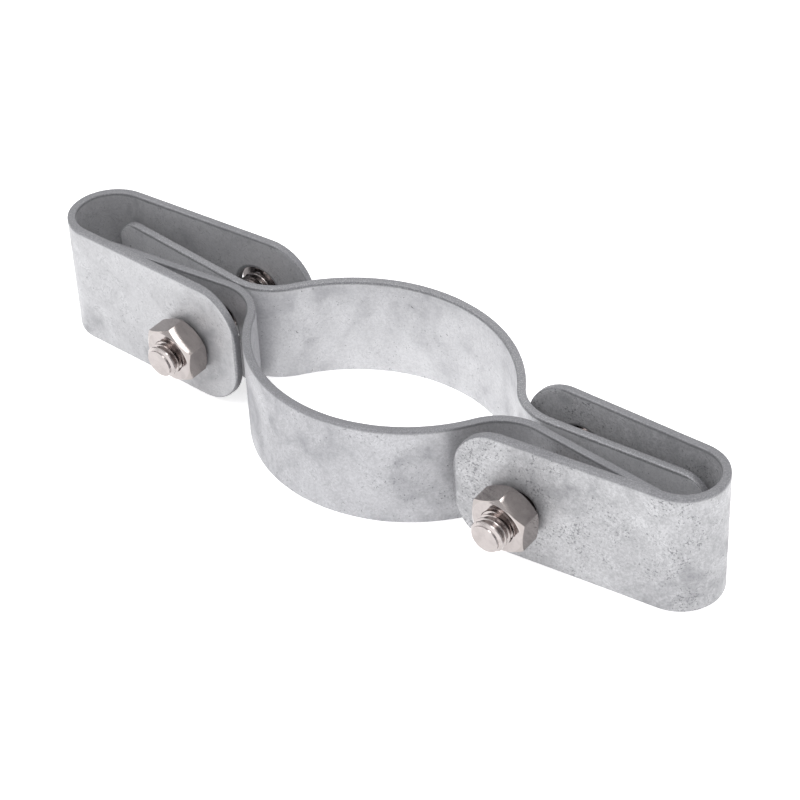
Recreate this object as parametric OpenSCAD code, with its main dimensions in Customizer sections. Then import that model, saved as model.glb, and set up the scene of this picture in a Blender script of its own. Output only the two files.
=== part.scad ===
// Panel clip for a round sign post.
// Two flat-bar collar halves face each other across the mid-plane y = 0. Each has an arched middle
// that seats on the post and two flat ears. At both ends a U-shaped clip strap, closed end outward,
// reaches over the ears, and one bolt and nut runs through its two legs and both ears.
// X runs along the clip, Y across it from the nuts (-Y) to the bolt heads (+Y), Z along the post.
// The origin is on the post axis, in the plane of the lower edges of all four straps.

/* [Flat bar] */
// Thickness of the bar
bar_t = 2; // [1.5:0.1:3]
// Width of the collar halves, along the post
collar_w = 25; // [24:0.5:30]
// Width of the clip straps, along the post
clip_w = 30; // [28:0.5:40]

/* [Collar halves] */
// Inner radius of the back half's arch
back_arch_r = 38; // [34:0.5:42]
// Inner radius of the front half's arch
front_arch_r = 36; // [34:0.5:40]
// Distance from the mid-plane to the inner face at the top of each arch
arch_rise = 24.2; // [22:0.1:27]
// Radius of the reverse bend between arch and ear, on the face toward the mid-plane
ear_bend_r = 14; // [8:0.5:16]
// Corner radius at the ear ends
ear_corner_r = 7; // [2:0.5:10]
// End of the left ears, measured from the post axis
left_ear_end = 84.8; // [78:0.1:86]
// End of the right ears, measured from the post axis
right_ear_end = 83; // [78:0.1:84]
// Outward slope of the back left ear, in degrees
back_left_slope = 5.8; // [3:0.1:7]
// Outward slope of the back right ear, in degrees
back_right_slope = 3.5; // [2:0.1:6]
// Outward slope of the front left ear, in degrees
front_left_slope = 6.3; // [3:0.1:7]
// Outward slope of the front right ear, in degrees
front_right_slope = 5.8; // [3:0.1:7]
// Inner face of the back left ear above the mid-plane, at its bolt
back_left_gap = 2.2; // [1.8:0.05:3]
// Inner face of the back right ear above the mid-plane, at its bolt
back_right_gap = 1.1; // [0.6:0.05:2]
// Inner face of the front left ear below the mid-plane, at its bolt
front_left_gap = -1.1; // [-1.15:0.05:0]
// Inner face of the front right ear below the mid-plane, at its bolt
front_right_gap = 0.65; // [0.4:0.05:2]

/* [Clip straps] */
// Inner radius of the left closed end
left_bend_r = 8.5; // [8:0.1:10]
// Inner radius of the right closed end
right_bend_r = 7.8; // [7.6:0.1:9.5]
// Centre of the left closed end across the clip
left_bend_y = 1.2; // [0.5:0.1:2]
// Centre of the right closed end across the clip
right_bend_y = -0.9; // [-1.5:0.1:-0.5]
// Distance from the left bolt to the centre of the left closed end, along the clip
left_bolt_to_bend = 32.6; // [31:0.1:36]
// Distance from the right bolt to the centre of the right closed end, along the clip
right_bolt_to_bend = 31.8; // [30:0.1:36]
// Spring-open angle of the left clip's back leg, in degrees
left_back_flare = 4; // [1:0.1:6]
// Spring-open angle of the left clip's front leg, in degrees
left_front_flare = 1.9; // [1:0.1:5]
// Spring-open angle of the right clip's back leg, in degrees
right_back_flare = 0; // [0:0.1:4]
// Spring-open angle of the right clip's front leg, in degrees
right_front_flare = 6.5; // [3:0.1:7]
// Reach of the left back leg past its bolt
left_back_reach = 17.4; // [13:0.1:18.5]
// Reach of the left front leg past its bolt
left_front_reach = 15.3; // [13:0.1:18.5]
// Reach of the right back leg past its bolt
right_back_reach = 12.6; // [12:0.1:12.7]
// Reach of the right front leg past its bolt
right_front_reach = 15.5; // [13:0.1:16]
// Corner radius at the leg ends
leg_corner_r = 11.5; // [6:0.5:13]
// Distance from the post axis to the hole in the left back leg
left_back_hole_x = 46.6; // [46:0.1:48.5]
// Distance from the post axis to the hole in the right back leg
right_back_hole_x = 48.9; // [45.5:0.1:49]
// Height of the holes in the back legs
back_hole_z = 15.6; // [14.7:0.1:15.7]

/* [Bolts and nuts] */
// Distance from the post axis to the left bolt
left_bolt_x = 48.6; // [47:0.1:52]
// Distance from the post axis to the right bolt
right_bolt_x = 47.2; // [46:0.1:50]
// Height of the bolt axis where it leaves the front leg
bolt_z = 13.4; // [12.5:0.1:13.6]
// Lean of the bolts in their holes, head end up, in degrees
bolt_lean = 4.5; // [3:0.1:5]
// Swing of the left bolt in its holes, head end toward the post, in degrees
left_bolt_swing = 2; // [0.5:0.1:4.5]
// Swing of the right bolt in its holes, head end toward the post, in degrees
right_bolt_swing = 0; // [-3:0.1:0.4]
// Thread diameter
bolt_d = 8; // [6:0.5:8]
// Length of the bolt under its head
bolt_len = 35; // [34:0.5:45]
// Width across flats of nut and bolt head
hex_af = 13; // [12:0.5:14]
// Thickness of the nut
nut_h = 6; // [5:0.1:7]
// Thickness of the bolt head
head_h = 5.3; // [4:0.1:6]
// Turn of the left nut about its bolt, in degrees
left_nut_turn = -6.5; // [-30:0.1:30]
// Turn of the right nut about its bolt, in degrees
right_nut_turn = -5.5; // [-30:0.1:30]

/* [Clearances] */
// Added to the thread diameter for the hole under the nut
close_hole_clear = 1; // [0.5:0.1:2]
// Added to the thread diameter for the ear holes
ear_hole_clear = 5; // [4.8:0.1:5.4]
// Added to the thread diameter for the hole under the head
head_hole_clear = 4; // [3.9:0.1:4.3]
// Radial play between nut and thread
thread_clear = 0.05; // [0.02:0.01:0.1]

/* [Hidden] */

BACK = 1;
FRONT = -1;
LEFT = -1;
RIGHT = 1;

galvanised = [0.70, 0.71, 0.73];
stainless = [0.66, 0.63, 0.61];

bolt_r = bolt_d / 2;
close_hole_r = (bolt_d + close_hole_clear) / 2;
ear_hole_r = (bolt_d + ear_hole_clear) / 2;
head_hole_r = (bolt_d + head_hole_clear) / 2;
nut_bore_r = bolt_r + thread_clear;
hex_corner_r = hex_af / sqrt(3);
hex_face_r = 0.95 * hex_af / 2;
hex_chamfer_angle = 30;
hex_chamfer_h = (hex_corner_r - hex_face_r) * tan(hex_chamfer_angle);
end_chamfer = bolt_d / 10;
bore_chamfer = bolt_d / 20;
// Length past a surface that a cutter runs so that it cuts clean through
over = 5;
// Depth of the cutters that round a bar's end, across the bar's slope and bends
cut_depth = 10;
round_fn = 96;
// Degrees of turn between points of a bent bar's section
arc_step = 2;

// Places along the clip, by side

function bolt_x(side) = side == LEFT ? left_bolt_x : right_bolt_x;
function ear_end(side) = side == LEFT ? left_ear_end : right_ear_end;
function bolt_to_bend(side) = side == LEFT ? left_bolt_to_bend : right_bolt_to_bend;
function bend_r(side) = side == LEFT ? left_bend_r : right_bend_r;
function bend_y(side) = side == LEFT ? left_bend_y : right_bend_y;
function bolt_swing(side) = side == LEFT ? left_bolt_swing : right_bolt_swing;
function back_hole_x(side) = side == LEFT ? left_back_hole_x : right_back_hole_x;
function nut_turn(side) = side == LEFT ? left_nut_turn : right_nut_turn;

// Ear and leg values, by half and side

function arch_r(half) = half == BACK ? back_arch_r : front_arch_r;

function ear_slope(half, side) =
    half == BACK ? (side == LEFT ? back_left_slope : back_right_slope)
                 : (side == LEFT ? front_left_slope : front_right_slope);

function ear_gap(half, side) =
    half == BACK ? (side == LEFT ? back_left_gap : back_right_gap)
                 : (side == LEFT ? front_left_gap : front_right_gap);

function leg_flare(half, side) =
    half == BACK ? (side == LEFT ? left_back_flare : right_back_flare)
                 : (side == LEFT ? left_front_flare : right_front_flare);

function leg_reach(half, side) =
    half == BACK ? (side == LEFT ? left_back_reach : right_back_reach)
                 : (side == LEFT ? left_front_reach : right_front_reach);

// The reverse bend of an ear touches the ear's line and the arch's circle. Its centre lies ear_bend_r
// above the line and arch radius + ear_bend_r from the arch's centre, which makes a quadratic in x.
// These functions see every ear as the back right one: x outward, y away from the mid-plane.

function dir(angle) = [cos(angle), sin(angle)];
function ear_line_y(half, side, x) = ear_gap(half, side) + (x - bolt_x(side)) * tan(ear_slope(half, side));
function arch_centre(half) = [0, arch_rise - arch_r(half)];
function bend_lift(half, side) =
    ear_line_y(half, side, 0) + ear_bend_r / cos(ear_slope(half, side)) - arch_centre(half).y;
function bend_x(half, side) =
    let (m = tan(ear_slope(half, side)), c = bend_lift(half, side), d = arch_r(half) + ear_bend_r)
    (-m * c + sqrt(m * m * c * c - (1 + m * m) * (c * c - d * d))) / (1 + m * m);
function bend_centre(half, side) =
    let (x = bend_x(half, side))
    arch_centre(half) + [x, bend_lift(half, side) + x * tan(ear_slope(half, side))];
// Angle at which the arch ends and the reverse bend begins, about the arch's centre
function arch_end(half, side) =
    let (b = bend_centre(half, side) - arch_centre(half)) atan2(b.y, b.x);

// A bar's edge view is a path along its inner face: a list of [point, unit vector into the bar].
// Round stretches are arcs of the path, and the outer face is the path moved by the bar's thickness.

function arc_path(centre, r, from, to, inward) =
    let (steps = ceil(abs(to - from) / arc_step))
    [for (i = [0 : steps]) let (d = dir(from + (to - from) * i / steps)) [centre + r * d, inward ? -d : d]];
function mirror_x(path) =
    [for (i = [len(path) - 1 : -1 : 0]) [[-path[i][0].x, path[i][0].y], [-path[i][1].x, path[i][1].y]]];
function reversed(points) = [for (i = [len(points) - 1 : -1 : 0]) points[i]];

module bar_section(path) {
    polygon(concat([for (p = path) p[0]], reversed([for (p = path) p[0] + bar_t * p[1]])));
}

// From the arch's end round the reverse bend to the ear's end
function ear_path(half, side) =
    let (slope = ear_slope(half, side), x = ear_end(side))
    concat(arc_path(bend_centre(half, side), ear_bend_r, arch_end(half, side) - 180, slope - 90, true),
           [[[x, ear_line_y(half, side, x)], dir(slope + 90)]]);

function half_path(half) =
    concat(mirror_x(ear_path(half, LEFT)),
           arc_path(arch_centre(half), arch_r(half), 180 - arch_end(half, LEFT) - arc_step,
                    arch_end(half, RIGHT) + arc_step, false),
           ear_path(half, RIGHT));

// End point of a clip leg on its inner face, seen as a back right one, from the closed end's centre
function leg_end(half, side) =
    let (turn = 90 - leg_flare(half, side), x = bolt_to_bend(side) + leg_reach(half, side),
         run = (x + bend_r(side) * cos(turn)) / sin(turn))
    bend_r(side) * dir(turn) + run * dir(turn + 90);

function clip_path(side) =
    let (back = 90 - leg_flare(BACK, side), front = 90 - leg_flare(FRONT, side),
         b = leg_end(BACK, side), f = leg_end(FRONT, side))
    concat([[b, dir(back)]],
           arc_path([0, 0], bend_r(side), back, -front, false),
           [[[f.x, -f.y], dir(-front)]]);

// Removes what lies outside a corner radius at the end of a bar of width w. x is the bar's end.
module end_corners(x, w, r) {
    for (top = [0, 1])
        translate([x, 0, top * w]) mirror([0, 0, top]) rotate([90, 0, 0])
            linear_extrude(height = cut_depth, center = true)
                difference() {
                    translate([-r, -over]) square([r + over, r + over]);
                    translate([-r, r]) circle(r = r, $fn = round_fn);
                }
}

// Hole along Y at height z, drawn as a right one
module cross_hole(x, y, z, r) {
    translate([x, y, z]) rotate([90, 0, 0])
        cylinder(r = r, h = 4 * bar_t, center = true, $fn = round_fn);
}

module collar_half(half) {
    color(galvanised)
        mirror([0, half == FRONT ? 1 : 0, 0])
            difference() {
                linear_extrude(height = collar_w) bar_section(half_path(half));
                for (side = [LEFT, RIGHT])
                    mirror([side == LEFT ? 1 : 0, 0, 0]) {
                        end_corners(ear_end(side), collar_w, ear_corner_r);
                        cross_hole(ear_hole_x(side), ear_gap(half, side) + bar_t / 2, collar_w / 2, ear_hole_r);
                    }
            }
}

// Distance of a leg's inner face from the closed end's centre line, at x from the closed end's centre
function leg_y(half, side, x) =
    bend_r(side) / cos(leg_flare(half, side)) + x * tan(leg_flare(half, side));

module clip_strap(side) {
    color(galvanised)
        mirror([side == LEFT ? 1 : 0, 0, 0])
            translate([bolt_x(side) + bolt_to_bend(side), bend_y(side), 0])
                difference() {
                    linear_extrude(height = clip_w) bar_section(clip_path(side));
                    for (half = [BACK, FRONT])
                        mirror([0, half == FRONT ? 1 : 0, 0]) mirror([1, 0, 0])
                            leg_cuts(half, side);
                }
}

// Rounds a leg's end and drills its hole, with x toward the post
module leg_cuts(half, side) {
    x = bolt_to_bend(side) + (half == BACK ? bolt_x(side) - back_hole_x(side) : 0);
    y = leg_y(half, side, x);
    z = half == BACK ? back_hole_z : bolt_z;
    r = half == BACK ? head_hole_r : close_hole_r;
    translate([0, y, 0]) end_corners(bolt_to_bend(side) + leg_reach(half, side), clip_w, leg_corner_r);
    cross_hole(x, y + bar_t / 2, z, r);
}

// The bolt's axis runs through the point at bolt_z on the front leg's outer face. Distances along it
// are counted from there toward the nut. Its head end leans up and swings toward the post.

// Y of a leg's outer face at the bolt
function leg_face_y(half, side) =
    bend_y(side) + half * (leg_y(half, side, bolt_to_bend(side)) + bar_t / cos(leg_flare(half, side)));
// The ear holes sit where the bolt's axis crosses the mid-plane
function ear_hole_x(side) = bolt_x(side) + leg_face_y(FRONT, side) * tan(bolt_swing(side));
// Cosine of the angle between the bolt's axis and the square to a leg
function seat_cos(half, side) = cos(bolt_lean) * cos(leg_flare(half, side) + half * bolt_swing(side));
// A flat round seat of radius hex_face_r leans on the leg with its rim
function rim_lift(half, side) =
    hex_face_r * sqrt(1 - pow(seat_cos(half, side), 2)) / seat_cos(half, side);
function nut_seat(side) = rim_lift(FRONT, side);
function head_seat(side) =
    (leg_face_y(FRONT, side) - leg_face_y(BACK, side)) / cos(bolt_lean)
        / (cos(bolt_swing(side)) - sin(bolt_swing(side)) * tan(leg_flare(BACK, side)))
    - rim_lift(BACK, side);

// Puts a piece drawn along +Z on the bolt's axis, at a distance along it
module on_bolt(side, along) {
    translate([side * bolt_x(side), leg_face_y(FRONT, side), bolt_z])
        rotate([90 + bolt_lean, 0, side * bolt_swing(side)]) translate([0, 0, along]) children();
}

// Hexagon whose corners are cut at 30 degrees at both ends, down to round seats
module hexagon(h) {
    intersection() {
        linear_extrude(height = h) circle(r = hex_corner_r, $fn = 6);
        rotate_extrude($fn = round_fn)
            polygon([[0, 0], [hex_face_r, 0], [hex_corner_r, hex_chamfer_h],
                     [hex_corner_r, h - hex_chamfer_h], [hex_face_r, h], [0, h]]);
    }
}

module nut(side) {
    color(stainless)
        on_bolt(side, nut_seat(side)) rotate(90 + nut_turn(side))
            difference() {
                hexagon(nut_h);
                translate([0, 0, -over]) cylinder(r = nut_bore_r, h = nut_h + 2 * over, $fn = round_fn);
                for (top = [0, 1])
                    translate([0, 0, top * nut_h]) mirror([0, 0, top])
                        cylinder(r1 = nut_bore_r + bore_chamfer, r2 = nut_bore_r, h = bore_chamfer, $fn = round_fn);
            }
}

module bolt(side) {
    color(stainless)
        on_bolt(side, head_seat(side)) {
            rotate_extrude($fn = round_fn)
                polygon([[0, 0], [bolt_r, 0], [bolt_r, bolt_len - end_chamfer],
                         [bolt_r - end_chamfer, bolt_len], [0, bolt_len]]);
            mirror([0, 0, 1]) hexagon(head_h);
        }
}

module back_half() { collar_half(BACK); }
module front_half() { collar_half(FRONT); }
module left_clip() { clip_strap(LEFT); }
module right_clip() { clip_strap(RIGHT); }
module left_bolt() { bolt(LEFT); }
module right_bolt() { bolt(RIGHT); }
module left_nut() { nut(LEFT); }
module right_nut() { nut(RIGHT); }

back_half();
front_half();
left_clip();
right_clip();
left_bolt();
right_bolt();
left_nut();
right_nut();
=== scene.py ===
"""Panel clip for a round sign post: looks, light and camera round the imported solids.

Lengths in the classes are in millimetres, as the maker's drawing would give them, and
``mm`` turns them to the scene's metres. Angles are in degrees.
"""

import logging
import math
from dataclasses import dataclass, field
from enum import Enum

import bmesh
import bpy
from mathutils import Matrix, Vector, noise


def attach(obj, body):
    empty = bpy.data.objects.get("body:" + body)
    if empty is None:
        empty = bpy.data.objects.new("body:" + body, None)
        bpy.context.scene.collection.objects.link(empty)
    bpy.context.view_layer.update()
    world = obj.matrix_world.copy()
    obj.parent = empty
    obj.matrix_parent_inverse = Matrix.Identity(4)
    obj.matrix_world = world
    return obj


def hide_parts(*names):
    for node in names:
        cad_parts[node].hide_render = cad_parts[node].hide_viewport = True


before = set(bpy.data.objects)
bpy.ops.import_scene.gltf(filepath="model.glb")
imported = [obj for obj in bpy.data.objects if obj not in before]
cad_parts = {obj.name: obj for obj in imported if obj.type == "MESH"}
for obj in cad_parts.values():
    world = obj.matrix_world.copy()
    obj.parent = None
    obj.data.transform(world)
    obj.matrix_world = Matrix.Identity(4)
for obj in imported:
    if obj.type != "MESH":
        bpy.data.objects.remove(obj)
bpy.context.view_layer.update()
LOG = logging.getLogger("panel_clip")
MM = 0.001
BODY = "root"
# Distances in metres under which the vertices of a bar and of a spun shape are one
BAR_WELD = 2e-6
SPUN_WELD = 4e-6
TINY = 1e-7


def mm(*values: float) -> Vector:
    """Returns a point given in millimetres as a vector in metres."""
    return Vector(values) * MM


def turn(angle: float) -> Vector:
    """Returns the unit vector at an angle in degrees from +X, in the XY plane."""
    return Vector((math.cos(math.radians(angle)), math.sin(math.radians(angle)), 0.0))


def linear(code: str) -> tuple[float, float, float, float]:
    """Turns an sRGB colour to the linear values that shaders take.

    Args:
        code: colour as "#rrggbb".

    Returns:
        Red, green, blue and an alpha of 1.
    """
    parts = [int(code[i:i + 2], 16) / 255 for i in (1, 3, 5)]
    curve = [c / 12.92 if c <= 0.04045 else ((c + 0.055) / 1.055) ** 2.4 for c in parts]
    return tuple(curve) + (1.0,)


class Side(Enum):
    """An end of the clip, as the sign of its X."""

    LEFT = -1
    RIGHT = 1


class Half(Enum):
    """The back or front of the mid-plane, as the sign of its Y."""

    BACK = 1
    FRONT = -1


# Materials

Socket = bpy.types.NodeSocket
# A Map Range node takes the value as input 0, its range as 1 and 2, and the new range as 3 and 4
SMOOTH = {"interpolation_type": "SMOOTHSTEP"}


class Nodes:
    """A node tree, to which nodes are added one by one with their settings and links."""

    def __init__(self, tree: bpy.types.NodeTree) -> None:
        """Empties the tree.

        Args:
            tree: node tree of a material or world.
        """
        self.tree = tree
        tree.nodes.clear()

    def add(self, kind: str, links: dict | None = None, out: str | int = 0,
            stops: tuple[tuple[float, str], ...] = (), **settings: object) -> Socket | None:
        """Adds a node.

        Args:
            kind: node type without the "ShaderNode" in front.
            links: input name or index to an output socket or a plain value.
            out: name or index of the wanted output.
            stops: places from 0 to 1 of a colour ramp, with an sRGB colour each.
            **settings: properties of the node.

        Returns:
            The wanted output socket, or None for the tree's last node.
        """
        node = self.tree.nodes.new("ShaderNode" + kind)
        for name, value in settings.items():
            setattr(node, name, value)
        for name, value in (links or {}).items():
            if isinstance(value, Socket):
                self.tree.links.new(value, node.inputs[name])
            else:
                node.inputs[name].default_value = value
        for number, (place, code) in enumerate(stops):
            bar = node.color_ramp.elements
            element = bar[number] if number < len(bar) else bar.new(place)
            element.position = place
            element.color = linear(code)
        return node.outputs[out] if node.outputs else None

    def close(self, colour: Socket, rough: Socket, height: Socket, metallic: float,
              relief: float) -> None:
        """Ends a material's tree with its shader.

        Args:
            colour: base colour.
            rough: roughness.
            height: relief of the surface, in mm.
            metallic: how far the surface is bare metal, from 0 to 1.
            relief: share of the height that shows.
        """
        normal = self.add("Bump", {"Height": height, "Strength": relief, "Distance": MM})
        shader = self.add("BsdfPrincipled", {"Base Color": colour, "Roughness": rough,
                                             "Metallic": metallic, "Normal": normal})
        self.add("OutputMaterial", {"Surface": shader})


def new_material(name: str) -> tuple[bpy.types.Material, Nodes]:
    """Makes an empty node material.

    Args:
        name: the material's name.

    Returns:
        The material and its nodes.
    """
    material = bpy.data.materials.new(name)
    material.use_nodes = True
    return material, Nodes(material.node_tree)


@dataclass(frozen=True)
class Pattern:
    """A noise pattern: size of its blotches in mm, and how detailed, rough and bent it is."""

    size: float
    detail: float
    rough: float
    bend: float

    def inputs(self) -> dict[str, float]:
        """Returns the values for a noise node's inputs."""
        return {"Scale": 1 / (self.size * MM), "Detail": self.detail,
                "Roughness": self.rough, "Distortion": self.bend}


# Clouds a centimetre across, patches and flow lines of 4 mm, and fields of grit. The grain and
# the grit are under 0.2 mm on the real bar and are drawn two to three times as coarse, to show.
ZINC_PATTERNS = {"clouds": Pattern(14.0, 4.0, 0.55, 0.8),
                 "patches": Pattern(4.0, 5.0, 0.62, 0.5),
                 "swirl": Pattern(4.5, 4.0, 0.6, 2.4),
                 "grit_fields": Pattern(8.0, 3.0, 0.6, 0.4),
                 "grit": Pattern(0.55, 2.0, 0.6, 0.6),
                 "grain": Pattern(0.6, 3.0, 0.7, 0.6),
                 "rim_grain": Pattern(0.32, 2.0, 0.6, 0.0)}
STEEL_PATTERNS = {"wear": Pattern(3.0, 4.0, 0.6, 0.5),
                  "scuffs": Pattern(0.35, 2.0, 0.6, 0.8)}


@dataclass(frozen=True)
class HotDipZinc:
    """Hot-dip galvanised steel: a dull, cloudy zinc skin, duller and grainier on the bar's edges.

    The zinc runs off as the bar is lifted from the bath, which leaves soft clouds, thin flow
    lines and dark grit that shows as fine specks. Its skin of oxide lets only part of the metal's
    gloss through. ``seed`` shifts the patterns, so that no two bars look alike, ``speck_cover``
    is how widely the specks spread, and ``flow``, ``grain`` and ``relief`` are strengths.
    """

    name: str
    seed: float
    light: str
    middle: str
    dark: str
    speck_cover: float
    flow: float
    grain: float
    trace: str = "#9b9b9e"
    # Edge colour: the sheared edges' own darker grey, made darker still as painted shade against
    # the light from above
    rim: str = "#828285"
    grit: str = "#77777a"
    roughness: float = 0.46
    metallic: float = 0.45
    relief: float = 0.5

    def build(self) -> bpy.types.Material:
        """Builds the finish.

        Returns:
            The material.
        """
        material, nodes = new_material(self.name)
        add = nodes.add
        place = add("TexCoord", out="Object")
        place = add("Mapping", {"Vector": place, "Location": (self.seed, self.seed * 0.7, 0.0)})
        noises = {name: add("TexNoise", {"Vector": place, **pattern.inputs()})
                  for name, pattern in ZINC_PATTERNS.items()}
        patches, grain = noises["patches"], noises["grain"]
        tone = add("Math", {0: noises["clouds"], 1: 0.6}, operation="MULTIPLY")
        tone = add("Math", {0: patches, 1: 0.4, 2: tone}, operation="MULTIPLY_ADD")
        colour = add("ValToRGB", {"Fac": tone},
                     stops=((0.34, self.dark), (0.47, self.middle), (0.62, self.light)))
        grained = add("MapRange", {0: grain, 1: 0.35, 2: 0.65, 3: self.grain, 4: 0.0}, **SMOOTH)
        # Flow lines: the thin contour where a strongly bent noise crosses its middle
        contour = add("Math", {0: noises["swirl"], 1: 0.5}, operation="SUBTRACT")
        contour = add("Math", {0: contour}, operation="ABSOLUTE")
        line = add("MapRange", {0: contour, 1: 0.0, 2: 0.026, 3: self.flow, 4: 0.0}, **SMOOTH)
        here = add("MapRange", {0: patches, 1: 0.42, 2: 0.58}, **SMOOTH)
        flowed = add("Math", {0: line, 1: here}, operation="MULTIPLY")
        # Grit: the peaks of a fine noise, over a limit that is lower inside its fields
        limit = add("MapRange", {0: noises["grit_fields"], 1: 0.38, 2: 0.66,
                                 3: 0.70, 4: 0.70 - 0.12 * self.speck_cover}, **SMOOTH)
        peak = add("Math", {0: noises["grit"], 1: limit}, operation="SUBTRACT")
        gritty = add("MapRange", {0: peak, 1: 0.0, 2: 0.04, 3: 0.0, 4: 0.75}, **SMOOTH)
        # Sheared and zinc-clogged edges, with a ragged border: partly their own darker grey,
        # partly painted shade that holds down the top edges lit from above
        rim = add("Attribute", out="Fac", attribute_name="edge")
        rim_colour = add("ValToRGB", {"Fac": noises["rim_grain"]},
                         stops=((0.28, self.grit), (0.5, self.rim), (0.8, self.dark)))
        ragged = add("Math", {0: patches, 1: 0.5, 2: rim}, operation="MULTIPLY_ADD")
        edged = add("MapRange", {0: ragged, 1: 0.6, 2: 1.1, 3: 0.0, 4: 0.85}, **SMOOTH)
        for share, layer in ((grained, linear(self.grit)), (flowed, linear(self.trace)),
                             (gritty, linear(self.grit)), (edged, rim_colour)):
            colour = add("Mix", {0: share, 6: colour, 7: layer}, out=2, data_type="RGBA")
        rough = add("MapRange", {0: tone, 1: 0.36, 2: 0.62, 3: self.roughness + 0.12,
                                 4: self.roughness - 0.08}, **SMOOTH)
        rough = add("Math", {0: rim, 1: 0.06, 2: rough}, operation="MULTIPLY_ADD")
        height = add("Math", {0: patches, 1: 0.08}, operation="MULTIPLY")
        height = add("Math", {0: grain, 1: 0.03, 2: height}, operation="MULTIPLY_ADD")
        lumps = add("Math", {0: noises["rim_grain"], 1: rim}, operation="MULTIPLY")
        height = add("Math", {0: lumps, 1: 0.05, 2: height}, operation="MULTIPLY_ADD")
        nodes.close(colour, rough, height, self.metallic, self.relief)
        return material


@dataclass(frozen=True)
class TurnedStainless:
    """A2 stainless steel, cold formed and tumbled: bright, faintly warm, with turning rings.

    Tumbling has dulled it in patches, here ``worn``. The hexagon's flats, which lie farther than
    ``flat_from`` mm from the axis, are painted greyer: painted shade for the darker reflections
    that the flats catch. ``ring_scale`` is the number of rings to a mm.
    """

    name: str
    roughness: float
    base: str = "#b4adab"
    worn: str = "#a09997"
    # Painted shade on the hexagon's flats, for the darker reflections they catch
    shaded_flats: str = "#aaa3a0"
    flat_from: float = 6.3
    ring_scale: float = 3.2
    relief: float = 0.6

    def build(self) -> bpy.types.Material:
        """Builds the finish.

        Returns:
            The material.
        """
        material, nodes = new_material(self.name)
        add = nodes.add
        place = add("TexCoord", out="Object")
        noises = {name: add("TexNoise", {"Vector": place, **pattern.inputs()})
                  for name, pattern in STEEL_PATTERNS.items()}
        radius = add("Attribute", out="Fac", attribute_name="radius")
        rings = add("TexNoise", {"W": radius, "Scale": self.ring_scale, "Detail": 2.0},
                    noise_dimensions="1D")
        worn = add("MapRange", {0: noises["wear"], 1: 0.4, 2: 0.7, 3: 0.0, 4: 0.55}, **SMOOTH)
        # Painted shade: the flats are darkened, for the darker reflections they catch
        flat = add("MapRange", {0: radius, 1: self.flat_from, 2: self.flat_from + 0.15}, **SMOOTH)
        colour = linear(self.base)
        for share, layer in ((worn, self.worn), (flat, self.shaded_flats)):
            colour = add("Mix", {0: share, 6: colour, 7: linear(layer)}, out=2, data_type="RGBA")
        rough = add("MapRange", {0: noises["wear"], 1: 0.35, 2: 0.7, 3: self.roughness - 0.02,
                                 4: self.roughness + 0.05}, **SMOOTH)
        height = add("Math", {0: rings, 1: 0.012}, operation="MULTIPLY")
        height = add("Math", {0: noises["scuffs"], 1: 0.006, 2: height},
                     operation="MULTIPLY_ADD")
        nodes.close(colour, rough, height, 1.0, self.relief)
        return material


# Pieces


def finished_mesh(bm: bmesh.types.BMesh, name: str) -> bpy.types.Mesh:
    """Writes a bmesh to a new mesh and frees it.

    Args:
        bm: the shape.
        name: the mesh's name.

    Returns:
        The mesh.
    """
    mesh = bpy.data.meshes.new(name)
    bm.to_mesh(mesh)
    bm.free()
    return mesh


def place_piece(mesh: bpy.types.Mesh, node: str, finish: HotDipZinc | TurnedStainless) -> None:
    """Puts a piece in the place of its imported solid.

    Args:
        mesh: its mesh, with the piece's name.
        node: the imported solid.
        finish: what it is made of.
    """
    piece = bpy.data.objects.new(mesh.name, mesh)
    bpy.context.scene.collection.objects.link(piece)
    mesh.materials.append(finish.build())
    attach(piece, BODY)
    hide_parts(node)
    LOG.info("%s: %d faces", piece.name, len(mesh.polygons))


# Bent bars


@dataclass
class BarPath:
    """The inner face of a bent bar, as straight runs and arcs; the metal lies on its left.

    Args:
        start: first point, in mm.
        heading: direction of travel at the start.
        runs: length in mm and turn in degrees of each stretch; left turns are positive.
    """

    start: Vector
    heading: float
    runs: list[tuple[float, float]]

    @property
    def length(self) -> float:
        """Developed length of the inner face, in mm."""
        return sum(run[0] for run in self.runs)

    def at(self, s: float, depth: float) -> Vector:
        """Finds a point of the bar's section.

        Args:
            s: distance along the inner face, in mm.
            depth: distance from the inner face into the metal, in mm.

        Returns:
            The point in the XY plane, in mm.
        """
        point, heading = self.start.copy(), self.heading
        for number, (length, angle) in enumerate(self.runs):
            last = number == len(self.runs) - 1
            share = s / length if last or s < length else 1.0
            if angle:
                radius = length / math.radians(angle)
                centre = point + turn(heading + 90) * radius
                heading += angle * share
                point = centre - turn(heading + 90) * radius
            else:
                point = point + turn(heading) * length * share
            if share != 1.0 or last:
                break
            s -= length
        return point + turn(heading + 90) * depth


@dataclass
class Hole:
    """A round hole in a flat bar: place along it, height, and radius, in mm."""

    s: float
    z: float
    r: float


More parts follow.
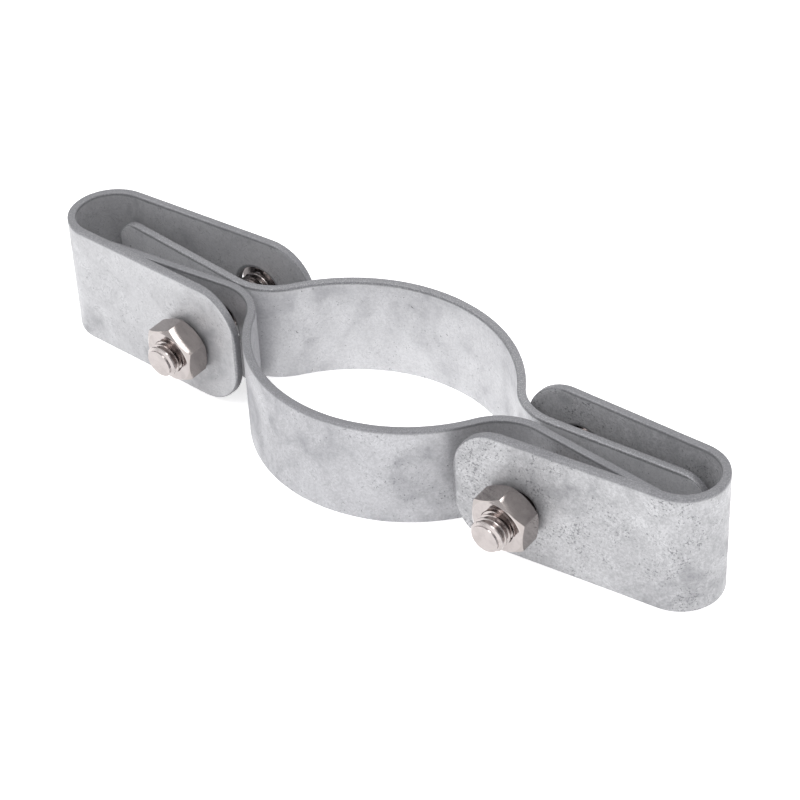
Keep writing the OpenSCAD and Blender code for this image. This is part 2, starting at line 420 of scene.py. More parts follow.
@dataclass
class Strap:
    """A flat bar with rounded ends and two holes, bent along a path. Lengths are in mm.

    It starts as a flat grid. A station along the grid is a zone and the share from 0 to 1
    through that zone.

    Args:
        name: the piece's name.
        node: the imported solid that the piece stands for.
        path: the bar's inner face.
        width: height of the bar on its lower edge.
        corner: corner radius at both ends.
        holes: two holes, in order along the path.
        finish: the zinc skin.
        flip_x: mirrors the finished shape in X.
        flip_y: mirrors the finished shape in Y.
        edge_fade: width of face over which the look of the edge fades.
        wall_steps: steps across the flat of the edge.
        lump: deepest unevenness of the zinc, whose waves are counted per metre.
    """

    name: str
    node: str
    path: BarPath
    width: float
    corner: float
    holes: list[Hole]
    finish: HotDipZinc
    flip_x: bool = False
    flip_y: bool = False
    thickness: float = 2.0
    edge_round: float = 0.4
    edge_fade: float = 1.2
    rim_angles: tuple[int, ...] = (30, 60, 90)
    wall_steps: int = 3
    lump: float = 0.05
    broad_waves: float = 160.0
    fine_waves: float = 900.0
    columns: int = 32
    corner_steps: int = 12
    hole_steps: int = 18
    grid_pitch: float = 0.8
    stations: list[tuple[str, float]] = field(init=False)

    def __post_init__(self) -> None:
        """Lays out the stations along the bar."""
        a, b = self.holes
        zones = [("start", self.corner_steps),
                 ("before", self.steps(a.s - a.r - self.corner)),
                 ("hole_a", self.hole_steps),
                 ("between", self.steps(b.s - b.r - a.s - a.r)),
                 ("hole_b", self.hole_steps),
                 ("after", self.steps(self.path.length - self.corner - b.s - b.r)),
                 ("end", self.corner_steps)]
        self.stations = [("start", 0.0)]
        for zone, steps in zones:
            self.stations += [(zone, (k + 1) / steps) for k in range(steps)]

    def steps(self, length: float) -> int:
        """Returns the number of grid cells along a length in mm: none where there is no room."""
        return max(2, round(length / self.grid_pitch)) if length > 0 else 0

    def margin(self, s: float, inset: float) -> float:
        """Finds how far an inset outline lies over the blank's lower edge.

        Args:
            s: distance along the bar, in mm.
            inset: distance from the blank's outline, in mm.

        Returns:
            The height, in mm.
        """
        past = self.corner - min(s, self.path.length - s)
        r = self.corner - inset
        return self.corner - math.sqrt(max(0.0, r * r - past * past)) if past > 0 else inset

    def middle(self, s: float) -> float:
        """Finds the grid's middle line, which runs through both holes.

        Args:
            s: distance along the bar, in mm.

        Returns:
            The line's height, in mm.
        """
        a, b = self.holes
        share = min(1.0, max(0.0, (s - a.s) / (b.s - a.s)))
        return a.z + (b.z - a.z) * share

    def blank_point(self, i: int, j: int, lip: int, inset: float) -> tuple[float, float]:
        """Finds a grid point on the flat blank.

        Args:
            i: station along the bar.
            j: column across the bar.
            lip: -1 or 1 for the lower or upper lip of a hole, or 0.
            inset: distance from the blank's outline, in mm.

        Returns:
            Distance along the bar and height, in mm.
        """
        zone, share = self.stations[i]
        a, b = self.holes
        length, r = self.path.length, self.corner
        opening = 0.0
        if zone in ("start", "end"):
            # A hole near the end of the bar begins before its corners are over
            room = a.s - a.r - inset if zone == "start" else length - b.s - b.r - inset
            least = math.asin(max(0.0, r - room) / (r - inset))
            angle = least + (math.pi / 2 - least) * (1 - share if zone == "start" else share)
            reach = r - (r - inset) * math.sin(angle)
            s = reach if zone == "start" else length - reach
        elif zone in ("hole_a", "hole_b"):
            hole = a if zone == "hole_a" else b
            angle = math.radians(180 * share - 90)
            s = hole.s + (hole.r + inset) * math.sin(angle)
            opening = (hole.r + inset) * math.cos(angle)
        else:
            low, high = {"before": (r, a.s - a.r - inset),
                         "between": (a.s + a.r + inset, b.s - b.r - inset),
                         "after": (b.s + b.r + inset, length - r)}[zone]
            s = low + (high - low) * share
        half = self.columns // 2
        mid, margin = self.middle(s), self.margin(s, inset)
        if j < half or (j == half and lip < 0):
            z = margin + (mid - opening - margin) * j / half
        else:
            top = self.width - margin
            z = mid + opening + (top - mid - opening) * (j - half) / half
        return s, z

    def rings(self) -> list[tuple[float, float]]:
        """Lists the rings of the rounded edge, from the outer face inward.

        Returns:
            Inset and depth of each ring, in mm.
        """
        rho, t = self.edge_round, self.thickness
        outer = [(rho * (1 - math.sin(a)), t - rho * (1 - math.cos(a)))
                 for a in map(math.radians, self.rim_angles)]
        wall = [(0.0, t - rho - (t - 2 * rho) * k / self.wall_steps)
                for k in range(1, self.wall_steps)]
        inner = [(inset, t - depth) for inset, depth in reversed(outer)] + [(rho, 0.0)]
        return outer + wall + inner

    def slit_grid(self, bm: bmesh.types.BMesh) -> None:
        """Makes a flat grid of the stations and columns, slit where the holes will open.

        Args:
            bm: empty mesh. Its layers keep each vertex's station, column and lip.
        """
        count, half = len(self.stations) - 1, self.columns // 2
        bmesh.ops.create_grid(bm, x_segments=count, y_segments=self.columns, size=0.5)
        layers = bm.verts.layers.int
        station, column, lip = (layers.new(name) for name in ("station", "column", "lip"))
        for vert in bm.verts:
            vert[station] = round((vert.co.x + 0.5) * count)
            vert[column] = round((vert.co.y + 0.5) * self.columns)
        inside = {i for i, (zone, share) in enumerate(self.stations)
                  if zone.startswith("hole") and share < 1}
        slits = [edge for edge in bm.edges if all(v[column] == half for v in edge.verts)
                 and any(v[station] in inside for v in edge.verts)]
        bmesh.ops.split_edges(bm, edges=slits)
        for vert in bm.verts:
            if vert[column] == half and vert[station] in inside:
                side = sum(face.calc_center_median().y for face in vert.link_faces)
                vert[lip] = 1 if side > 0 else -1

    def wrap(self, bm: bmesh.types.BMesh, rings: int) -> None:
        """Extrudes the grid's rims ring by ring round the edge and adds the inner face.

        Args:
            bm: the slit grid. A layer keeps each vertex's ring.
            rings: number of rings.
        """
        ring = bm.verts.layers.int.new("ring")
        outer_faces = list(bm.faces)
        rim = [edge for edge in bm.edges if edge.is_boundary]
        for number in range(1, rings + 1):
            grown = bmesh.ops.extrude_edge_only(bm, edges=rim)["geom"]
            rim = [e for e in grown if isinstance(e, bmesh.types.BMEdge) and e.is_boundary]
            for vert in (v for v in grown if isinstance(v, bmesh.types.BMVert)):
                vert[ring] = number
        copy = bmesh.ops.duplicate(bm, geom=outer_faces)["geom"]
        for vert in (v for v in copy if isinstance(v, bmesh.types.BMVert)):
            vert[ring] = rings

    def mesh(self) -> bpy.types.Mesh:
        """Builds the bar: a slit grid, given its edges ring by ring, then bent.

        Returns:
            The mesh.
        """
        bm = bmesh.new()
        rings = self.rings()
        self.slit_grid(bm)
        self.wrap(bm, len(rings))
        shares = bm.verts.layers.float_color.new("edge")
        layers = (bm.verts.layers.int[name] for name in ("station", "column", "lip", "ring"))
        station, column, lip, ring = layers
        places = [(self.edge_round, self.thickness)] + rings
        for vert in bm.verts:
            inset, depth = places[vert[ring]]
            s, z = self.blank_point(vert[station], vert[column], vert[lip], inset)
            vert[shares] = (self.edge_share(s, z, 0 < vert[ring] < len(rings)),) * 3 + (1.0,)
            vert.co = self.bend(s, depth, z)
        bmesh.ops.remove_doubles(bm, verts=bm.verts, dist=BAR_WELD)
        bmesh.ops.recalc_face_normals(bm, faces=bm.faces)
        for face in bm.faces:
            face.smooth = True
        self.roughen(bm)
        return finished_mesh(bm, self.name)

    def edge_share(self, s: float, z: float, on_rim: bool) -> float:
        """Finds how far a point counts as edge: 1 on the rim, fading over the face beside it.

        The lower edges keep the faces' colour, without the darker edge colour: painted light, as
        they look lighter next to the pale floor.

        Args:
            s: distance along the bar, in mm.
            z: height, in mm.
            on_rim: whether the point is on the rounded rim.

        Returns:
            A share from 0 to 1.
        """
        # Painted light: the lower edges keep the faces' colour, as they look lighter next to the
        # pale floor
        if z < self.edge_round:
            return 0.0
        if on_rim:
            return 1.0
        gap = min(self.width - z, s, self.path.length - s)
        gap = min([gap] + [math.hypot(s - h.s, z - h.z) - h.r for h in self.holes])
        return max(0.0, min(1.0, 1 - (gap - self.edge_round) / self.edge_fade)) ** 1.5

    def bend(self, s: float, depth: float, z: float) -> Vector:
        """Moves a point of the flat blank to its place on the bent bar.

        Args:
            s: distance along the bar, in mm.
            depth: distance from the inner face into the metal, in mm.
            z: height, in mm.

        Returns:
            The point, in metres.
        """
        point = self.path.at(s, depth)
        x = -point.x if self.flip_x else point.x
        y = -point.y if self.flip_y else point.y
        return mm(x, y, z)

    def roughen(self, bm: bmesh.types.BMesh) -> None:
        """Pushes the skin in unevenly, as lumpy zinc, and never out of the bar's size.

        Args:
            bm: the bent bar.
        """
        bm.normal_update()
        moves = {}
        shift = Vector((self.finish.seed * 50, 0, 0))
        for vert in bm.verts:
            broad = noise.noise(vert.co * self.broad_waves + shift)
            fine = noise.noise(vert.co * self.fine_waves)
            moves[vert] = (0.5 + 0.35 * broad + 0.35 * fine) * self.lump
        for vert, depth in moves.items():
            vert.co -= vert.normal * max(0.0, depth) * MM

    def build(self) -> None:
        """Builds the piece and puts it in its place."""
        place_piece(self.mesh(), self.node, self.finish)


@dataclass
class Ear:
    """One flat ear of a collar half, seen as the back right one. Lengths are in mm.

    Args:
        bolt_x: distance of the bolt from the middle.
        hole_x: distance of the hole from the middle.
        end: distance of the ear's end from the middle.
        slope: slope of the ear, away from the other half.
        gap: height of its inner face over the mid-plane at the bolt.
        bend_r: inner radius of the bend between arch and ear.
    """

    bolt_x: float
    hole_x: float
    end: float
    slope: float
    gap: float
    bend_r: float = 14.0

    def line_y(self, x: float) -> float:
        """Returns the height of the ear's inner face over the mid-plane at x."""
        return self.gap + (x - self.bolt_x) * math.tan(math.radians(self.slope))

    def bend_centre(self, arch_r: float, arch_y: float) -> Vector:
        """Finds the centre of the reverse bend between arch and ear.

        Args:
            arch_r: inner radius of the arch.
            arch_y: the arch's centre.

        Returns:
            The centre, in mm.
        """
        m = math.tan(math.radians(self.slope))
        c = self.line_y(0) + self.bend_r / math.cos(math.radians(self.slope)) - arch_y
        d = arch_r + self.bend_r
        x = (-m * c + math.sqrt(m * m * c * c - (1 + m * m) * (c * c - d * d))) / (1 + m * m)
        return Vector((x, arch_y + c + x * m, 0.0))

    def shape(self, arch_r: float, arch_y: float) -> tuple[float, float, float, float]:
        """Works out the ear's stretches.

        Args:
            arch_r: inner radius of the arch.
            arch_y: the arch's centre.

        Returns:
            Angle at which the arch ends, turn of the bend, flat length, and distance of the hole
            from the ear's end along the inner face.
        """
        centre = self.bend_centre(arch_r, arch_y)
        arch_end = math.degrees(math.atan2(centre.y - arch_y, centre.x))
        start = centre + turn(self.slope - 90) * self.bend_r
        cosine = math.cos(math.radians(self.slope))
        flat, to_hole = (self.end - start.x) / cosine, (self.end - self.hole_x) / cosine
        return arch_end, 90 - arch_end + self.slope, flat, to_hole


@dataclass
class Collar:
    """The two collar halves that close on the post. Lengths are in mm.

    ``arch_rise`` is the height of an arch's inner face over the mid-plane.
    """

    width: float = 25.0
    arch_rise: float = 24.2
    corner: float = 7.0
    hole_r: float = 6.5
    arch_r: dict[Half, float] = field(default_factory=lambda: {Half.BACK: 38.0, Half.FRONT: 36.0})
    ears: dict[tuple[Half, Side], Ear] = field(default_factory=lambda: {
        (Half.BACK, Side.LEFT): Ear(bolt_x=48.6, hole_x=48.24, end=84.8, slope=5.8, gap=2.2),
        (Half.BACK, Side.RIGHT): Ear(bolt_x=47.2, hole_x=47.2, end=83.0, slope=3.5, gap=1.1),
        (Half.FRONT, Side.LEFT): Ear(bolt_x=48.6, hole_x=48.24, end=84.8, slope=6.3, gap=-1.1),
        (Half.FRONT, Side.RIGHT): Ear(bolt_x=47.2, hole_x=47.2, end=83.0, slope=5.8, gap=0.65)})
    # The back half's colours are lighter than the front half's: partly the bars' own tone, partly
    # painted light for the back half's inner face, which the front half shades
    finishes: dict[Half, HotDipZinc] = field(default_factory=lambda: {
        Half.BACK: HotDipZinc("hot_dip_zinc_back_half", 0.31, "#e4e4e6", "#dcdcde", "#cacacd",
                              speck_cover=0.35, flow=0.3, grain=0.16),
        Half.FRONT: HotDipZinc("hot_dip_zinc_front_half", 1.87, "#c6c6c9", "#bbbbbe", "#a4a4a8",
                               speck_cover=0.7, flow=0.65, grain=0.26)})

    def half(self, half: Half) -> Strap:
        """Lays out one half.

        Args:
            half: back or front.

        Returns:
            The strap, ready to build.
        """
        radius = self.arch_r[half]
        centre_y = self.arch_rise - radius
        left, right = self.ears[half, Side.LEFT], self.ears[half, Side.RIGHT]
        end_l, bend_l, flat_l, hole_l = left.shape(radius, centre_y)
        end_r, bend_r, flat_r, hole_r = right.shape(radius, centre_y)
        arch = 180 - end_l - end_r
        path = BarPath(Vector((-left.end, left.line_y(left.end), 0.0)), -left.slope, [
            (flat_l, 0.0),
            (math.radians(bend_l) * left.bend_r, bend_l),
            (math.radians(arch) * radius, -arch),
            (math.radians(bend_r) * right.bend_r, bend_r),
            (flat_r, 0.0)])
        holes = [Hole(hole_l, self.width / 2, self.hole_r),
                 Hole(path.length - hole_r, self.width / 2, self.hole_r)]
        node = half.name.lower() + "_half"
        return Strap(node + "_bar", node, path, self.width, self.corner, holes,
                     self.finishes[half], flip_y=half is Half.FRONT)

    def build(self) -> None:
        """Builds both halves."""
        for half in Half:
            self.half(half).build()


@dataclass
class ClipStrap:
    """A U-shaped strap over the ears of one end, closed end outward. Lengths are in mm.

    Args:
        side: its end of the clip.
        bolt_x: distance of the bolt from the middle.
        bolt_to_bend: distance from the bolt to the centre of the closed end.
        bend_r: inner radius of the closed end.
        bend_y: Y of the closed end's centre.
        flare: how far each leg stands open.
        reach: how far each leg reaches past the bolt.
        back_hole_x: distance of the back leg's hole from the middle.
        finish: the zinc skin.
    """

    side: Side
    bolt_x: float
    bolt_to_bend: float
    bend_r: float
    bend_y: float
    flare: dict[Half, float]
    reach: dict[Half, float]
    back_hole_x: float
    finish: HotDipZinc
    width: float = 30.0
    corner: float = 11.5
    bolt_z: float = 13.4
    back_hole_z: float = 15.6
    hole_r: dict[Half, float] = field(default_factory=lambda: {Half.BACK: 6.0, Half.FRONT: 4.5})

    def leg(self, half: Half) -> tuple[float, float]:
        """Works out a leg.

        Args:
            half: back or front leg.

        Returns:
            Its straight length, and the distance from its end to its hole, in mm.
        """
        flare = math.radians(self.flare[half])
        start_x = self.bend_r * math.sin(flare)
        length = (self.bolt_to_bend + self.reach[half] + start_x) / math.cos(flare)
        aside = self.back_hole_x - self.bolt_x if half is Half.BACK else 0.0
        return length, (self.reach[half] + aside) / math.cos(flare)

    def outer_face(self, half: Half) -> float:
        """Finds a leg's outer face at the bolt.

        Args:
            half: back or front leg.

        Returns:
            The face's Y, in mm.
        """
        flare = math.radians(self.flare[half])
        over = (self.bend_r + Strap.thickness) / math.cos(flare)
        return self.bend_y + half.value * (over + self.bolt_to_bend * math.tan(flare))

    def strap(self) -> Strap:
        """Lays out the strap.

        Returns:
            The strap, ready to build.
        """
        back, front = self.flare[Half.BACK], self.flare[Half.FRONT]
        back_len, back_hole = self.leg(Half.BACK)
        front_len, front_hole = self.leg(Half.FRONT)
        bend = 180 - back - front
        centre = Vector((self.bolt_x + self.bolt_to_bend, self.bend_y, 0.0))
        start = centre + turn(90 - back) * self.bend_r - turn(-back) * back_len
        path = BarPath(start, -back, [(back_len, 0.0), (math.radians(bend) * self.bend_r, -bend),
                                      (front_len, 0.0)])
        holes = [Hole(back_hole, self.back_hole_z, self.hole_r[Half.BACK]),
                 Hole(path.length - front_hole, self.bolt_z, self.hole_r[Half.FRONT])]
        node = self.side.name.lower() + "_clip"
        return Strap(node + "_bar", node, path, self.width, self.corner, holes, self.finish,
                     flip_x=self.side is Side.LEFT)


# Bolts and nuts


@dataclass
class Hexagon:
    """Hexagon with slightly rounded corners and chamfered ends. Lengths are in mm.

    ``seat_share`` is the width of the round seat inside the chamfer, as a share of ``across``.
    """

    across: float = 13.0
    corner_round: float = 0.35
    seat_share: float = 0.95
    chamfer: float = 30.0
    chamfer_steps: int = 6

    @property
    def seat_r(self) -> float:
        """Radius of the round seat inside the chamfer, in mm."""
        return self.seat_share * self.across / 2

    def radius(self, angle: float) -> float:
        """Finds the outline.

        Args:
            angle: angle in degrees from a corner.

        Returns:
            The outline's radius there, in mm.
        """
        off = (angle + 30) % 60 - 30
        flat = self.across / 2 / math.cos(math.radians(30 - abs(off)))
        centre = (self.across / 2 - self.corner_round) / math.cos(math.radians(30))
        sine = centre * math.sin(math.radians(abs(off)))
        if sine >= self.corner_round:
            return flat
        past = math.sqrt(self.corner_round ** 2 - sine ** 2)
        return min(flat, centre * math.cos(math.radians(off)) + past)


@dataclass
class Thread:
    """Metric thread. Lengths are in mm; crest and root are shares of the pitch."""

    d: float = 8.0
    pitch: float = 1.25
    depth: float = 0.72
    crest: float = 0.2
    root: float = 0.22

    def profile(self, low: float, high: float) -> list[tuple[float, float]]:
        """Draws the toothed line.

        Args:
            low: first height, in mm.
            high: last height, in mm.

        Returns:
            Radius and height of each point, in mm.
        """
        crest_r, root_r = self.d / 2, self.d / 2 - self.depth
        flank = self.pitch * (1 - self.crest - self.root) / 2
        points, z = [], low
        while z < high:
            points += [(crest_r, z), (crest_r, z + self.crest * self.pitch),
                       (root_r, z + self.crest * self.pitch + flank),
                       (root_r, z + self.pitch - flank)]
            z += self.pitch
        return points


@dataclass
class Fastener:
    """One bolt with its nut. Lengths are in mm.

    Args:
        clip: the strap that it goes through.
        nut_turn: how far the nut is turned on.
        swing: how far the head is swung toward the post.
        z: height of the axis at the front leg.
        lean: how far the head end leans up.
        length: length under the head.
        neck_h: length without thread under the head.
        neck_cut: depth to which it is undercut.
        mouth_h: depth of the countersinks of the nut's bore.
        mouth_play: distance of their edges from the bolt.
        bore_play: distance of the bore from the bolt.
        bolt_rough: roughness of the bolt's steel.
        nut_rough: roughness of the nut's steel.
        spins: steps round the axis.
        sharp: angle between faces from which an edge is sharp.
    """

    clip: ClipStrap
    nut_turn: float
    swing: float
    z: float = 13.4
    lean: float = 4.5
    length: float = 35.0
    head_h: float = 5.3
    nut_h: float = 6.0
    neck_h: float = 0.9
    neck_cut: float = 0.25
    mouth_h: float = 0.15
    mouth_play: float = 0.14
    bore_play: float = 0.03
    hexagon: Hexagon = field(default_factory=Hexagon)
    thread: Thread = field(default_factory=Thread)
    bolt_rough: float = 0.16
    nut_rough: float = 0.1
    spins: int = 96
    sharp: float = 28.0

    def rim_lift(self, half: Half) -> float:
        """Finds how far a seat stands off a leg that it leans on with its rim.

        Args:
            half: back or front leg.

        Returns:
            The distance along the axis, in mm.
        """
        aside = math.radians(self.clip.flare[half] + half.value * self.swing)
        cosine = math.cos(math.radians(self.lean)) * math.cos(aside)
        return self.hexagon.seat_r * math.sqrt(1 - cosine ** 2) / cosine

    @property
    def nut_seat(self) -> float:
        """Place of the nut's seat along the axis, counted from the front leg, in mm."""
        return self.rim_lift(Half.FRONT)

    @property
    def head_seat(self) -> float:
        """Place of the head's seat along the axis, in mm."""
        span = self.clip.outer_face(Half.BACK) - self.clip.outer_face(Half.FRONT)
        swing, flare = math.radians(self.swing), math.radians(self.clip.flare[Half.BACK])
        aside = math.cos(swing) - math.sin(swing) * math.tan(flare)
        return -span / (math.cos(math.radians(self.lean)) * aside) - self.rim_lift(Half.BACK)

    def axis(self, along: float, spin: float = 0.0) -> Matrix:
        """Puts a shape that is drawn along +Z in metres on the bolt's axis.

        Args:
            along: place along the axis, in mm.
            spin: turn about the axis.

        Returns:
            The matrix.
        """
        side = self.clip.side.value
        foot = mm(side * self.clip.bolt_x, self.clip.outer_face(Half.FRONT), self.z)
        swing = Matrix.Rotation(math.radians(side * self.swing), 4, "Z")
        lean = Matrix.Rotation(math.radians(90 + self.lean), 4, "X")
        return (Matrix.Translation(foot) @ swing @ lean @ Matrix.Translation(mm(0, 0, along))
                @ Matrix.Rotation(math.radians(spin), 4, "Z"))

    def spin_profile(self, bm: bmesh.types.BMesh, points: list[tuple[float, float]],
                     climb: float = 0.0) -> list[bmesh.types.BMVert]:
        """Spins a line about Z, once round.

        Args:
            bm: mesh to build in.
            points: radius and height of the line's points, in mm.
            climb: rise over the turn, in mm, for a thread.

        Returns:
            The spun vertices.
        """
        first = [bm.verts.new(mm(r, 0, z)) for r, z in points]
        edges = [bm.edges.new(pair) for pair in zip(first, first[1:])]
        before = set(bm.verts)
        bmesh.ops.spin(bm, geom=first + edges, cent=(0, 0, 0), axis=(0, 0, 1),
                       dvec=mm(0, 0, climb / self.spins), angle=math.tau, steps=self.spins,
                       use_merge=False)
        return first + [v for v in bm.verts if v not in before]

    def hex_block(self, bm: bmesh.types.BMesh, low: float, height: float,
                  bore: float = 0.001) -> None:
        """Adds a hexagon with chamfered ends.

        Args:
            bm: mesh to build in.
            low: place of its lower end, in mm.
            height: height of the block, in mm.
            bore: radius of its hole, in mm; the least one closes when doubles are merged.
        """
        seat = self.hexagon.seat_r
        slope = math.tan(math.radians(self.hexagon.chamfer))
        shares = [k / self.hexagon.chamfer_steps for k in range(self.hexagon.chamfer_steps + 1)]
        # Past the seat, the line's radius is the seat's and a share of the way to the outline,
        # and a height of 1 mm beyond an end stands for that end's chamfer
        line = [(bore, 0.0), ((bore + seat) / 2, 0.0)] + [(seat + share, -1.0) for share in shares]
        line.append((seat + 1, height / 2))
        line += [(seat + share, height + 1) for share in reversed(shares)]
        line += [((bore + seat) / 2, height), (bore, height)]
        for vert in self.spin_profile(bm, line):
            x, y, z = vert.co / MM
            r = math.hypot(x, y)
            if r > seat - TINY / MM:
                outline = self.hexagon.radius(math.degrees(math.atan2(y, x)))
                over = max(0.0, outline - seat) * (r - seat)
                x, y = (value / r * (min(seat, outline) + over) for value in (x, y))
                z = over * slope if z < 0 else height - over * slope if z > height else z
            vert.co = mm(x, y, low + z)

    def place(self, bm: bmesh.types.BMesh, node: str, place: Matrix, roughness: float) -> None:
        """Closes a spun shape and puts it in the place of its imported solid.

        Args:
            bm: the shape, along +Z.
            node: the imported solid.
            place: matrix onto the bolt's axis.
            roughness: roughness of the steel.
        """
        bmesh.ops.remove_doubles(bm, verts=bm.verts, dist=SPUN_WELD)
        bmesh.ops.dissolve_degenerate(bm, edges=bm.edges, dist=TINY)
        open_edges = [edge for edge in bm.edges if edge.is_boundary]
        bmesh.ops.holes_fill(bm, edges=open_edges, sides=0)
        bmesh.ops.recalc_face_normals(bm, faces=bm.faces)
        layer = bm.verts.layers.float_color.new("radius")
        for vert in bm.verts:
            vert[layer] = (math.hypot(vert.co.x, vert.co.y) / MM,) * 3 + (1.0,)
        for face in bm.faces:
            face.smooth = True
        for edge in bm.edges:
            angle = edge.calc_face_angle(0.0)
            edge.smooth = len(edge.link_faces) == 2 and angle < math.radians(self.sharp)
        bmesh.ops.transform(bm, matrix=place, verts=bm.verts)
        place_piece(finished_mesh(bm, node + "_steel"), node,
                    TurnedStainless(node + "_stainless", roughness))

    def cut(self, bm: bmesh.types.BMesh, low: float, high: float) -> None:
        """Cuts a threaded wall square at both ends.

        Args:
            bm: the wall.
            low: lower height, in mm.
            high: upper height, in mm.
        """
        for height, normal in ((low, (0, 0, -1)), (high, (0, 0, 1))):
            geom = bm.verts[:] + bm.edges[:] + bm.faces[:]
            bmesh.ops.bisect_plane(bm, geom=geom, dist=TINY, plane_co=mm(0, 0, height),
                                   plane_no=normal, clear_outer=True)

    def bolt(self) -> None:
        """Builds the bolt: head below its seat, threaded shank with a chamfered end."""
        bm = bmesh.new()
        spare = 2 * self.thread.pitch
        self.spin_profile(bm, self.thread.profile(-spare, self.length + spare), self.thread.pitch)
        bmesh.ops.remove_doubles(bm, verts=bm.verts, dist=SPUN_WELD)
        self.cut(bm, 0.0, self.length)
        shank_r = self.thread.d / 2
        for vert in bm.verts:
            r, z = math.hypot(vert.co.x, vert.co.y) / MM, vert.co.z / MM
            point_r = shank_r - self.thread.depth + max(0.0, self.length - z)
            wanted = shank_r - self.neck_cut if z < self.neck_h else min(r, point_r)
            vert.co.x *= wanted / r
            vert.co.y *= wanted / r
        self.hex_block(bm, -self.head_h, self.head_h)
        self.place(bm, self.clip.side.name.lower() + "_bolt", self.axis(self.head_seat),
                   self.bolt_rough)

    def nut(self) -> None:
        """Builds the nut: chamfered hexagon with a countersunk mouth at both ends."""
        bm = bmesh.new()
        mouth, wall = self.thread.d / 2 + self.mouth_play, self.thread.d / 2 + self.bore_play
        self.hex_block(bm, 0.0, self.nut_h, mouth)
        self.spin_profile(bm, [(mouth, 0.0), (wall, self.mouth_h),
                               (wall, self.nut_h - self.mouth_h), (mouth, self.nut_h)])
        self.place(bm, self.clip.side.name.lower() + "_nut",
                   self.axis(self.nut_seat, 90 + self.nut_turn), self.nut_rough)


# Stage


@dataclass(frozen=True)
class Lamp:
    """A square soft lamp that points at the clip, with place and side in metres."""

    name: str
    place: tuple[float, float, float]
    size: float
    power: float

    def build(self) -> None:
        """Hangs the lamp."""
        data = bpy.data.lights.new(self.name, "AREA")
        data.size, data.energy = self.size, self.power
        lamp = bpy.data.objects.new(self.name, data)
        lamp.location = self.place
        lamp.rotation_euler = Vector(self.place).to_track_quat("Z", "Y").to_euler()
        bpy.context.scene.collection.objects.link(lamp)


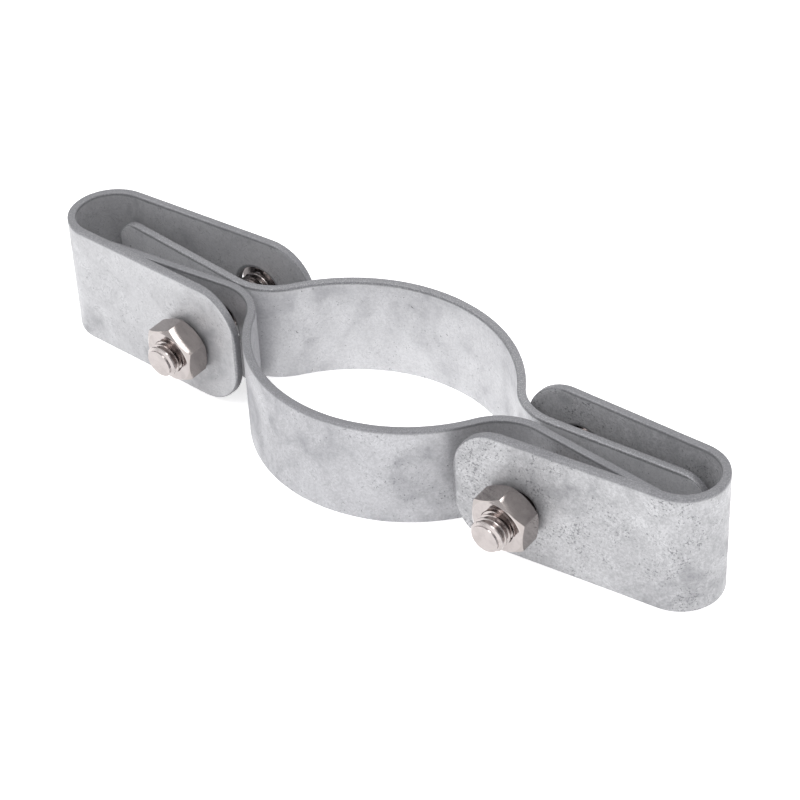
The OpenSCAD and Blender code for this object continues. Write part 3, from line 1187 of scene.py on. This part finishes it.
@dataclass(frozen=True)
class Studio:
    """Pale floor, soft light and the camera that matches the photograph.

    The camera's lengths are in mm, its clip distances and the floor's sizes in metres. The
    target is shifted ``aside`` and ``above`` in the frame. ``floor_glow`` is what the camera sees
    in the floor beyond the light on it. ``tent`` goes from the horizon to overhead.
    """

    azimuth: float = 40.02
    elevation: float = 37.37
    roll: float = -2.71
    distance: float = 550.1
    target: tuple[float, float, float] = (0.0, 1.01, 15.0)
    aside: float = -3.34
    above: float = 3.17
    focal_px: float = 2490.5
    frame_px: float = 800.0
    sensor: float = 36.0
    clip: tuple[float, float] = (0.01, 50.0)
    floor_r: float = 6.0
    floor_gap: float = 0.00002
    floor_glow: float = 0.62
    tent: tuple[tuple[float, str], ...] = ((0.0, "#e4e4e6"), (0.25, "#d4d4d6"), (0.42, "#8e8e92"),
                                           (0.62, "#ffffff"), (0.9, "#e0e0e2"))
    tent_strength: float = 1.16
    lamps: tuple[Lamp, ...] = (Lamp("key", (-0.45, -0.7, 1.3), 0.7, 6.0),
                               Lamp("sheen", (0.36, 0.6, 0.95), 0.4, 1.6))

    def camera(self) -> None:
        """Makes the camera."""
        a, e, r = (math.radians(v) for v in (self.azimuth, self.elevation, self.roll))
        back = Vector((math.sin(a) * math.cos(e), -math.cos(a) * math.cos(e), math.sin(e)))
        side = Vector((math.cos(a), math.sin(a), 0.0))
        up = back.cross(side)
        right = side * math.cos(r) + up * math.sin(r)
        up = up * math.cos(r) - side * math.sin(r)
        place = Vector(self.target) + back * self.distance - right * self.aside - up * self.above
        matrix = Matrix((right, up, back)).transposed().to_4x4()
        matrix.translation = place * MM
        data = bpy.data.cameras.new("camera")
        data.sensor_width = self.sensor
        data.lens = self.focal_px / self.frame_px * self.sensor
        data.clip_start, data.clip_end = self.clip
        camera = bpy.data.objects.new("camera", data)
        camera.matrix_world = matrix
        bpy.context.scene.collection.objects.link(camera)
        bpy.context.scene.camera = camera

    def floor(self) -> None:
        """Lays a wide pale floor that stays white to the camera and keeps the clip's shadow."""
        bm = bmesh.new()
        bmesh.ops.create_circle(bm, cap_ends=True, segments=64, radius=self.floor_r,
                                matrix=Matrix.Translation((0, 0, -self.floor_gap)))
        mesh = finished_mesh(bm, "floor")
        floor = bpy.data.objects.new("floor", mesh)
        bpy.context.scene.collection.objects.link(floor)
        material, nodes = new_material("white_card")
        camera, glossy, through = (nodes.add("LightPath", out=f"Is {ray} Ray")
                                   for ray in ("Camera", "Glossy", "Transmission"))
        seen = nodes.add("Math", {0: camera, 1: glossy}, operation="MAXIMUM")
        seen = nodes.add("Math", {0: seen, 1: through}, operation="MAXIMUM")
        strength = nodes.add("Math", {0: seen, 1: self.floor_glow}, operation="MULTIPLY")
        card = nodes.add("BsdfDiffuse", {"Color": linear("#fafafa")})
        glow = nodes.add("Emission", {"Color": linear("#ffffff"), "Strength": strength})
        both = nodes.add("AddShader", {0: card, 1: glow})
        nodes.add("OutputMaterial", {"Surface": both})
        mesh.materials.append(material)

    def world(self) -> None:
        """Surrounds the clip with a pale tent that has a greyer band, which shapes the metal."""
        world = bpy.data.worlds.new("tent")
        bpy.context.scene.world = world
        world.use_nodes = True
        nodes = Nodes(world.node_tree)
        direction = nodes.add("TexCoord", out="Generated")
        height = nodes.add("SeparateXYZ", {0: direction}, out="Z")
        colour = nodes.add("ValToRGB", {"Fac": height}, stops=self.tent)
        tent = nodes.add("Background", {"Color": colour, "Strength": self.tent_strength})
        nodes.add("OutputWorld", {"Surface": tent})

    def build(self) -> None:
        """Builds the stage."""
        self.camera()
        self.floor()
        self.world()
        for lamp in self.lamps:
            lamp.build()
        bpy.context.scene.view_settings.view_transform = "Standard"


def main() -> None:
    """Builds the studio and the clip's pieces in order."""
    logging.basicConfig(level=logging.INFO, format="%(message)s")
    Studio().build()
    Collar().build()
    left = ClipStrap(
        side=Side.LEFT, bolt_x=48.6, bolt_to_bend=32.6, bend_r=8.5, bend_y=1.2,
        flare={Half.BACK: 4.0, Half.FRONT: 1.9}, reach={Half.BACK: 17.4, Half.FRONT: 15.3},
        back_hole_x=46.6,
        finish=HotDipZinc("hot_dip_zinc_left_clip", 0.77, "#cacacc", "#c0c0c2", "#a6a6a9",
                          speck_cover=0.4, flow=0.7, grain=0.17))
    right = ClipStrap(
        side=Side.RIGHT, bolt_x=47.2, bolt_to_bend=31.8, bend_r=7.8, bend_y=-0.9,
        flare={Half.BACK: 0.0, Half.FRONT: 6.5}, reach={Half.BACK: 12.6, Half.FRONT: 15.5},
        back_hole_x=48.9,
        finish=HotDipZinc("hot_dip_zinc_right_clip", 2.43, "#d0d0d2", "#c1c1c3", "#a4a4a7",
                          speck_cover=1.2, flow=0.8, grain=0.34))
    for fastener in (Fastener(left, nut_turn=-6.5, swing=2.0),
                     Fastener(right, nut_turn=-5.5, swing=0.0)):
        fastener.clip.strap().build()
        fastener.bolt()
        fastener.nut()


if __name__ == "__main__":
    main()
